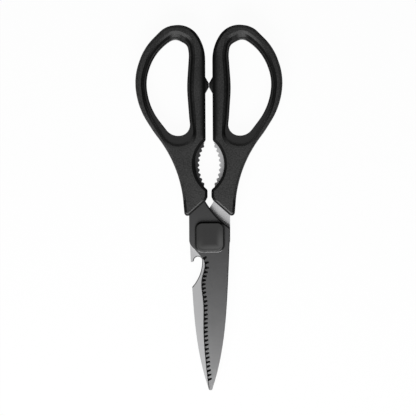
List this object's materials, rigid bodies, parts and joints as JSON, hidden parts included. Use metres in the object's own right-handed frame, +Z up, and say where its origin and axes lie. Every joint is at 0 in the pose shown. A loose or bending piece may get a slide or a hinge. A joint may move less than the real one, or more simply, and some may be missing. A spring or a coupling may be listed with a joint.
{
  "type": "kitchen shears",
  "caption": "Kitchen shears with long finger loops, a toothed gripper, a bottle opener and a serrated blade, turning on a capped screw.",
  "frame": {"origin": "on the pivot axis, in the plane that the closed shears lie on", "axes": "+Y from the blade tips to the finger loops, +X to the right handle, whose blade lies underneath, +Z up along the pivot axis to the cap"},
  "size_m": [0.0844, 0.2101, 0.012],
  "materials": {
    "blade_steel": "ground",
    "handle_plastic": "fine grain",
    "buffer_rubber": "matte",
    "pivot_steel": "turned",
    "cap_plastic": "satin"
  },
  "bodies": {
    "rear_half": {"rear_blade": "blade_steel", "right_handle": "handle_plastic", "right_buffer": "buffer_rubber", "pivot_screw": "pivot_steel", "pivot_nut": "pivot_steel"},
    "front_half": {"front_blade": "blade_steel", "left_handle": "handle_plastic", "left_buffer": "buffer_rubber", "spring_washer": "pivot_steel", "pivot_cap": "cap_plastic"}
  },
  "joints": [
    {"name": "blade_pivot", "type": "hinge", "parent": "rear_half", "child": "front_half", "pos_m": [0, 0, 0.006], "axis": [0, 0, 1], "range_deg": [0, 90]}
  ]
}
